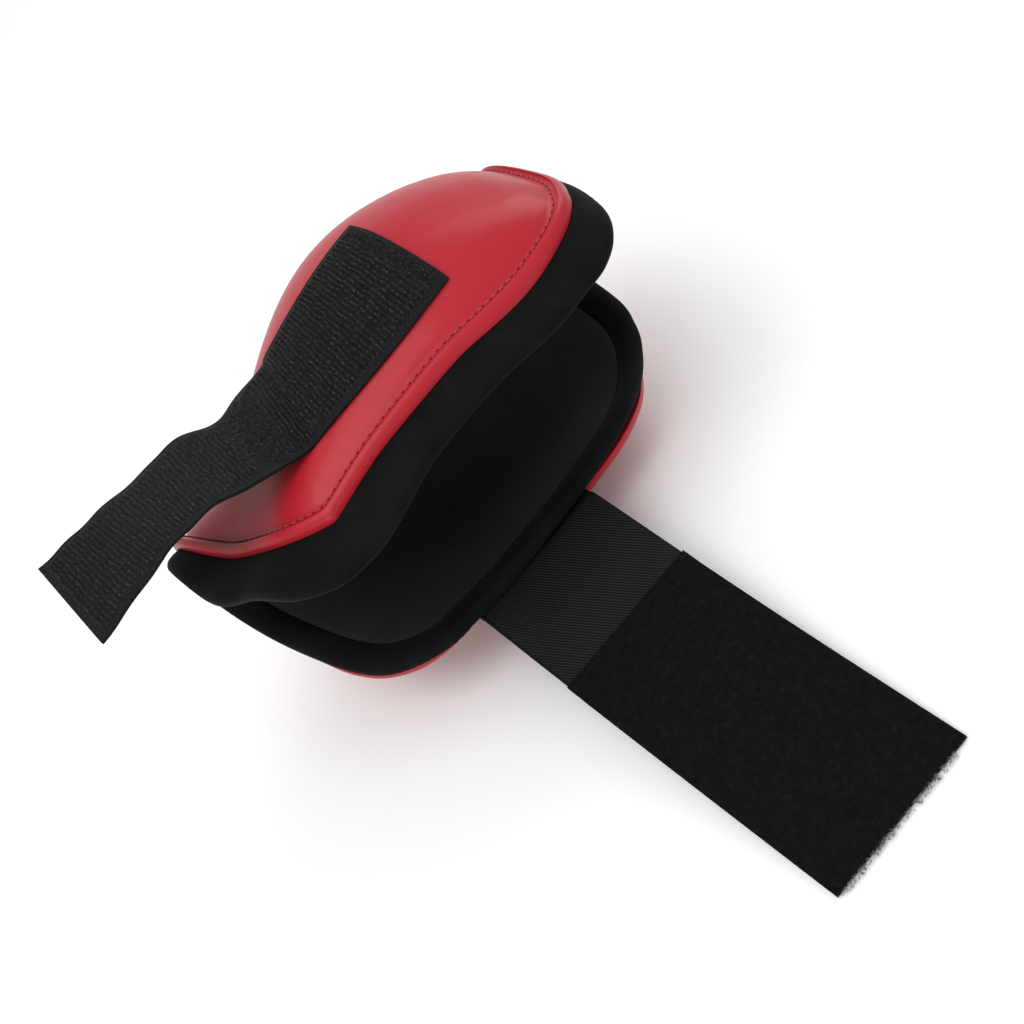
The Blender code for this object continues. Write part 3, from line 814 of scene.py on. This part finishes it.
def hook_surface():
    """The tape's middle face as rows across it, evenly spread from the patch to the tail's
    end, and how far along the tape each row lies."""
    across = TAPE_COLUMNS
    # the patch's last row is left out, so that the curve runs on smoothly into the tail
    rows = patch_rows(np.linspace(0.0, 0.9, 10), across) + tail_rows(across)
    flat = np.array(rows).reshape(len(rows), -1)
    dense = spline(flat, 24)
    middle = dense.reshape(len(dense), across, 3)[:, across // 2]
    along = np.concatenate([[0.0], np.cumsum(np.linalg.norm(np.diff(middle, axis=0), axis=1))])
    count = int(along[-1] / (0.25 * HOOK_PITCH))
    wanted = np.linspace(0.0, along[-1], count)
    even = np.stack([np.interp(wanted, along, column) for column in dense.T], -1)
    even = even.reshape(count, across, 3)
    even[..., 2] += edge_ripple(even[:, across // 2, 0], across)
    return even, wanted


def edge_ripple(middle_x, across):
    """Rise of the tail's edges, where the tape buckles as it leaves the shell."""
    x = middle_x[:, None]
    far = np.linspace(0.0, 1.0, across)[None, :] ** 2
    near = far[:, ::-1]
    buckle = sum(height * np.exp(-((x - place) / width) ** 2) for place, width, height in BUCKLES)
    free = smooth((FREE_FROM - x) / 10.0)
    wave = EDGE_WAVE * free * (far * np.sin(x * 0.42) + near * np.sin(x * 0.36 + 1.0))
    return far * buckle + wave


def hook_relief(along, across, length, middle_x):
    """Height of the hooks over the middle face: rows of small hooks, a flat selvedge."""
    side = np.linspace(-0.5 * TAPE_WIDTH, 0.5 * TAPE_WIDTH, across)[None, :]
    far = np.asarray(along)[:, None]
    wander = 0.18 * np.sin(side * 0.55 + 0.7 * np.sin(far * 0.21)) + 0.1 * np.sin(side * 1.7)
    row = 0.5 - 0.5 * np.cos(2.0 * np.pi * (far + wander) / HOOK_PITCH)
    edge = np.minimum(0.5 * TAPE_WIDTH - abs(side), np.minimum(far + 1.4, length - far + 0.6))
    inside = smooth((edge - SELVEDGE) / 0.9)
    ragged = NOISE.random((len(along), across))
    coarse = smooth(1.5 - far / COARSE_END) + smooth(
        1.5 - abs(middle_x[:, None] - COARSE_BAND[0]) / COARSE_BAND[1])
    ruly = 0.4 * row + 0.4 * ragged * row + 0.05 * ragged
    return 0.5 + inside * (ruly + (0.7 * ragged ** 2 - ruly) * np.minimum(coarse, 1.0))


def make_hook_tape():
    surface, along = hook_surface()
    length = along[-1]
    middle_x = surface[:, surface.shape[1] // 2, 0]
    relief = hook_relief(along, surface.shape[1], length, middle_x)
    cuts = [0] + [int(np.argmax(middle_x < x)) for x in TAPE_CUTS] + [len(along) - 1]
    names = ["hook_patch_tape", "hook_tail_1", "hook_tail_2", "hook_tail_3"]
    nodes = [("hook_patch",), ("hook_tail_root",), ("hook_tail_middle",), ("hook_tail_end",)]
    bodies = ["guard_upper", "tail_root", "tail_middle", "tail_end"]
    for number, name in enumerate(names):
        first, last = cuts[number], cuts[number + 1]
        rows = slice(first, last + 1)
        obj = slab(name, surface[rows], relief[rows], TAPE_HALF, MATERIALS["hook_black"])
        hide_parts(*nodes[number])
        if number == 0:
            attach(obj, bodies[0])
        else:
            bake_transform(obj)
    make_patch_stitches(surface, along)


def make_patch_stitches(surface, along):
    """A box of stitches round the patch, in from its edges."""
    across = surface.shape[1]
    step = TAPE_WIDTH / (across - 1)
    left, right = round(BOX_INSET / step), across - 1 - round(BOX_INSET / step)
    start = int(np.searchsorted(along, BOX_INSET))
    end = int(np.argmax(surface[:, across // 2, 0] < BOX_END))
    box = [surface[start:end, left], surface[end, left:right], surface[start:end, right][::-1],
           surface[start, left:right][::-1]]
    path = resample(np.concatenate(box + [box[0][:1]]), 260)[:-1]
    away = path - np.array(TAPE_CENTRE)
    away[:, 0] = 0.0
    away /= np.linalg.norm(away, axis=1)[:, None]
    obj = stitches("patch_stitching", path + away * 0.5 * TAPE_THICK, away, PATCH_THREAD,
                   MATERIALS["thread_black"])
    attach(obj, "guard_upper")
    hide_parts("patch_box_stitch")


# ---------------------------------------------------------------- strap
def strap_curve():
    """Dense centre line (y, z) of the strap, and how far along each point lies."""
    count = len(ROOT_DEPTHS)
    start = guard_point(np.zeros(count), np.array(ROOT_DEPTHS), np.full(count, ROOT_HEIGHT))[:, 1:]
    line = [tuple(point) for point in start] + STRAP_LINE
    dense = spline(line, 40)
    along = np.concatenate([[0.0], np.cumsum(np.linalg.norm(np.diff(dense, axis=0), axis=1))])
    return dense, along


def way_to(dense, along, y):
    """How far along the strap's centre line a y lies."""
    return float(np.interp(-y, -dense[:, 0], along))


def strap_grid(dense, along, first, last, width, step, columns):
    """Middle face of a stretch of the strap: rows along it, columns across it."""
    wanted = np.linspace(first, last, max(3, int((last - first) / step) + 1))
    y = np.interp(wanted, along, dense[:, 0])
    z = np.interp(wanted, along, dense[:, 1])
    side = np.linspace(-0.5, 0.5, columns)
    grid = np.zeros((len(wanted), columns, 3))
    grid[..., 0] = side[None, :] * width
    grid[..., 1] = y[:, None]
    grid[..., 2] = z[:, None] + root_curl(grid[..., 0], y[:, None])
    return grid, wanted


def root_curl(x, y):
    """Rise of the strap's root, which follows the curl of the padding it is sewn under."""
    lobes = sum(smooth(1.0 - abs(x - lobe) / LOBE_WIDTH) for lobe in LOBES)
    return CURL * lobes * smooth((y + ROOT_FADE) / ROOT_FADE)


def elastic_relief(grid, along):
    """Ribs of the woven elastic, on the slant, with a fine weave across them."""
    x = grid[..., 0]
    way = along[:, None]
    ribs = np.cos(2.0 * np.pi * (x - RIB_SLANT * way) / (RIB_PITCH * math.hypot(1.0, RIB_SLANT)))
    weave = np.cos(2.0 * np.pi * (x + way) / (RIB_PITCH * math.sqrt(2.0)))
    edge = smooth((0.5 * ELASTIC_WIDTH - abs(x)) / 0.8)
    return 0.5 + edge * (0.3 + RIB_HEIGHT * ribs + WEAVE_HEIGHT * weave)


def loop_relief(grid, along, start, end):
    """Napped face of the loop tape, thinner at its edges and its cut end."""
    x = grid[..., 0]
    edge = np.minimum(0.5 * LOOP_WIDTH - abs(x), np.minimum(along[:, None] - start + 0.3,
                                                            end - along[:, None] + 0.4))
    nap = NOISE.random(x.shape)
    return 0.35 + smooth(edge / 1.6) * 0.55 + smooth(edge / 1.0) * 0.22 * nap


def lap_rise(way):
    """Rise of the loop tape over the elastic's end, at a way from the tape's start."""
    return LAP_RISE * smooth(1.0 - way / LAP_LENGTH)


def make_elastic(dense, along, ways, middles):
    """The elastic in two pieces, from its root under the padding to under the loop tape."""
    spans = [(0.0, middles[0]), (middles[0], ways[1] + LAP_OVERLAP)]
    nodes = [("elastic_root",), ("elastic_1",)]
    columns = round(ELASTIC_WIDTH / ELASTIC_STEP)
    for number, (first, last) in enumerate(spans):
        grid, wanted = strap_grid(dense, along, first, last, ELASTIC_WIDTH, ELASTIC_STEP, columns)
        obj = slab("elastic_web_%d" % (number + 1), grid, elastic_relief(grid, wanted),
                   ELASTIC_HALF, MATERIALS["elastic_black"])
        finish_strap_piece(obj,
                           nodes[number])


def make_loop_tape(dense, along, start, end, middles):
    """The loop tape in four pieces, from a start to an end along the strap."""
    spans = [(start, middles[2]), (middles[2], middles[3]), (middles[3], middles[4]),
             (middles[4], end)]
    nodes = [("loop_tape_1", "loop_tape_2"), ("loop_tape_3",), ("loop_tape_4",), ("loop_tape_5",)]
    for number, (first, last) in enumerate(spans):
        grid, wanted = strap_grid(dense, along, first, last, LOOP_WIDTH, LOOP_STEP, LOOP_COLUMNS)
        grid[..., 2] += lap_rise(wanted - start)[:, None]
        obj = slab("loop_web_%d" % (number + 1), grid, loop_relief(grid, wanted, start, end),
                   LOOP_HALF, MATERIALS["loop_black"])
        finish_strap_piece(obj,
                           nodes[number])


def make_strap():
    dense, along = strap_curve()
    ways = [way_to(dense, along, y) for y, z in STRAP_LINE]
    middles = [0.5 * (a + b) for a, b in zip(ways, ways[1:])]
    make_elastic(dense, along, ways, middles)
    make_loop_tape(dense, along, ways[1], along[-1], middles)
    make_strap_stitches(dense, along, ways[1])
    make_fringe(np.array((0.0, dense[-1, 0], dense[-1, 1])))


def finish_strap_piece(obj, nodes):
    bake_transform(obj)
    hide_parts(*nodes)


def make_strap_stitches(dense, along, start):
    side, near, far = 0.5 * LOOP_WIDTH - 2.6, start + 2.4, start + BOX_LENGTH - 1.0
    box = [(side, near), (-side, near), (-side, far), (side, far), (side, near)]
    path = resample(np.array(box), 200)[:-1]
    y = np.interp(path[:, 1], along, dense[:, 0])
    z = np.interp(path[:, 1], along, dense[:, 1])
    lift = LOOP_FACE + lap_rise(path[:, 1] - start)
    points = np.stack([path[:, 0], y, z + lift], -1)
    up = np.tile((0.0, 0.0, 1.0), (len(points), 1))
    obj = stitches("strap_stitching", points, up, STRAP_THREAD, MATERIALS["thread_black"])
    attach(obj, "strap_2")
    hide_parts("strap_box_stitch")


def fringe_path(end, steps):
    """A loose curly thread that starts at the strap's cut end."""
    x = random.uniform(-0.47, 0.42) * LOOP_WIDTH
    reach = random.uniform(0.7, 2.5)
    turns = random.uniform(0.8, 2.2)
    sway = random.uniform(-1.2, 1.2)
    size = random.uniform(0.2, 0.5)
    phase = random.uniform(0.0, 2.0 * math.pi)
    path = []
    for step in range(steps):
        part = step / (steps - 1)
        angle = phase + 2.0 * math.pi * turns * part
        path.append(end + np.array((
            x + sway * part + size * math.sin(angle) * smooth(part * 3.0),
            0.4 - reach * math.sin(part * math.pi * 0.62),
            random.uniform(-0.1, 0.1) + 0.2 + size * 0.6 * math.cos(angle))))
    return np.array(path)


def make_fringe(end):
    """Loose loops of thread along the cut end of the strap."""
    look = Nodes("frayed_thread", (0.12, 0.12, 0.12), 0.7, Specular_IOR_Level=0.3)
    look.colour(look.ramp(look.noise(500.0), [(0.4, (0.03, 0.03, 0.03)),
                                              (0.62, (0.2, 0.205, 0.2))]))
    points, faces = [], []
    sides, steps = 4, 14
    for number in range(FRINGE_THREADS):
        path = fringe_path(end, steps)
        ahead = np.gradient(path, axis=0)
        ahead /= np.linalg.norm(ahead, axis=1)[:, None]
        first = np.cross(ahead, (0.3, 0.2, 0.93))
        first /= np.linalg.norm(first, axis=1)[:, None]
        second = np.cross(ahead, first)
        faces += tube_faces(len(points), steps, sides)
        for point, a, b in zip(path, first, second):
            for k in range(sides):
                angle = 2.0 * math.pi * k / sides
                ray = math.cos(angle) * a + math.sin(angle) * b
                points.append(point + FRINGE_RADIUS * ray)
    obj = add_mesh("cut_end_threads", to_row(points), faces, look.material, sharp=0)
    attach(obj, "strap_6")


# ---------------------------------------------------------------- studio
def make_floor():
    size, depth = 3.0, -0.0005
    obj = add_mesh("floor", [(-size, -size, depth), (size, -size, depth), (size, size, depth),
                             (-size, size, depth)], [(0, 1, 2, 3)], floor_material(), sharp=0)


def add_area(name, place, target, size, power):
    light = bpy.data.lights.new(name, "AREA")
    light.shape = "RECTANGLE"
    light.size, light.size_y = size
    light.energy = power
    obj = bpy.data.objects.new(name, light)
    obj.location = place
    obj.rotation_euler = (Vector(target) - Vector(place)).to_track_quat("-Z", "Y").to_euler()
    bpy.context.scene.collection.objects.link(obj)


def make_lights():
    world = bpy.data.worlds.new("studio")
    world.use_nodes = True
    background = world.node_tree.nodes["Background"]
    background.inputs["Color"].default_value = (1.0, 1.0, 1.0, 1.0)
    background.inputs["Strength"].default_value = 0.75
    bpy.context.scene.world = world
    centre = (0.0, 0.0, 0.04)
    add_area("key_light", (-0.35, -0.25, 1.1), centre, (0.9, 0.9), 8.2)
    add_area("side_light", (0.9, 0.5, 0.7), centre, (0.5, 0.8), 4.0)
    add_area("fill_light", (-0.7, -0.8, 0.24), centre, (0.7, 0.4), 2.6)


def make_camera():
    """The viewing direction is given by its turn, rise and roll over the guard frame."""
    turn, rise, roll = (math.radians(angle) for angle in (-10.0, 46.2, 41.9))
    target, distance, lens = Vector((7.8, 29.8, 0.0)), 560.0, 63.7
    back = Vector((math.sin(turn) * math.cos(rise), -math.cos(turn) * math.cos(rise),
                   math.sin(rise)))
    level = Vector((math.cos(turn), math.sin(turn), 0.0))
    above = back.cross(level)
    right = math.cos(roll) * level - math.sin(roll) * above
    upward = math.sin(roll) * level + math.cos(roll) * above
    stand = Matrix.Rotation(TILT, 3, "X")
    place = (stand @ (target + back * distance) + Vector(STAND)) * MM
    axes = Matrix([stand @ right, stand @ upward, stand @ back]).transposed()
    data = bpy.data.cameras.new("camera")
    data.lens = lens
    data.sensor_width = 36.0
    data.clip_start = 0.01
    camera = bpy.data.objects.new("camera", data)
    camera.matrix_world = Matrix.Translation(place) @ axes.to_4x4()
    bpy.context.scene.collection.objects.link(camera)
    bpy.context.scene.camera = camera


make_shell()
make_padding()
make_panel()
make_hook_tape()
make_strap()
make_floor()
make_lights()
make_camera()
bpy.context.scene.view_settings.view_transform = "Standard"
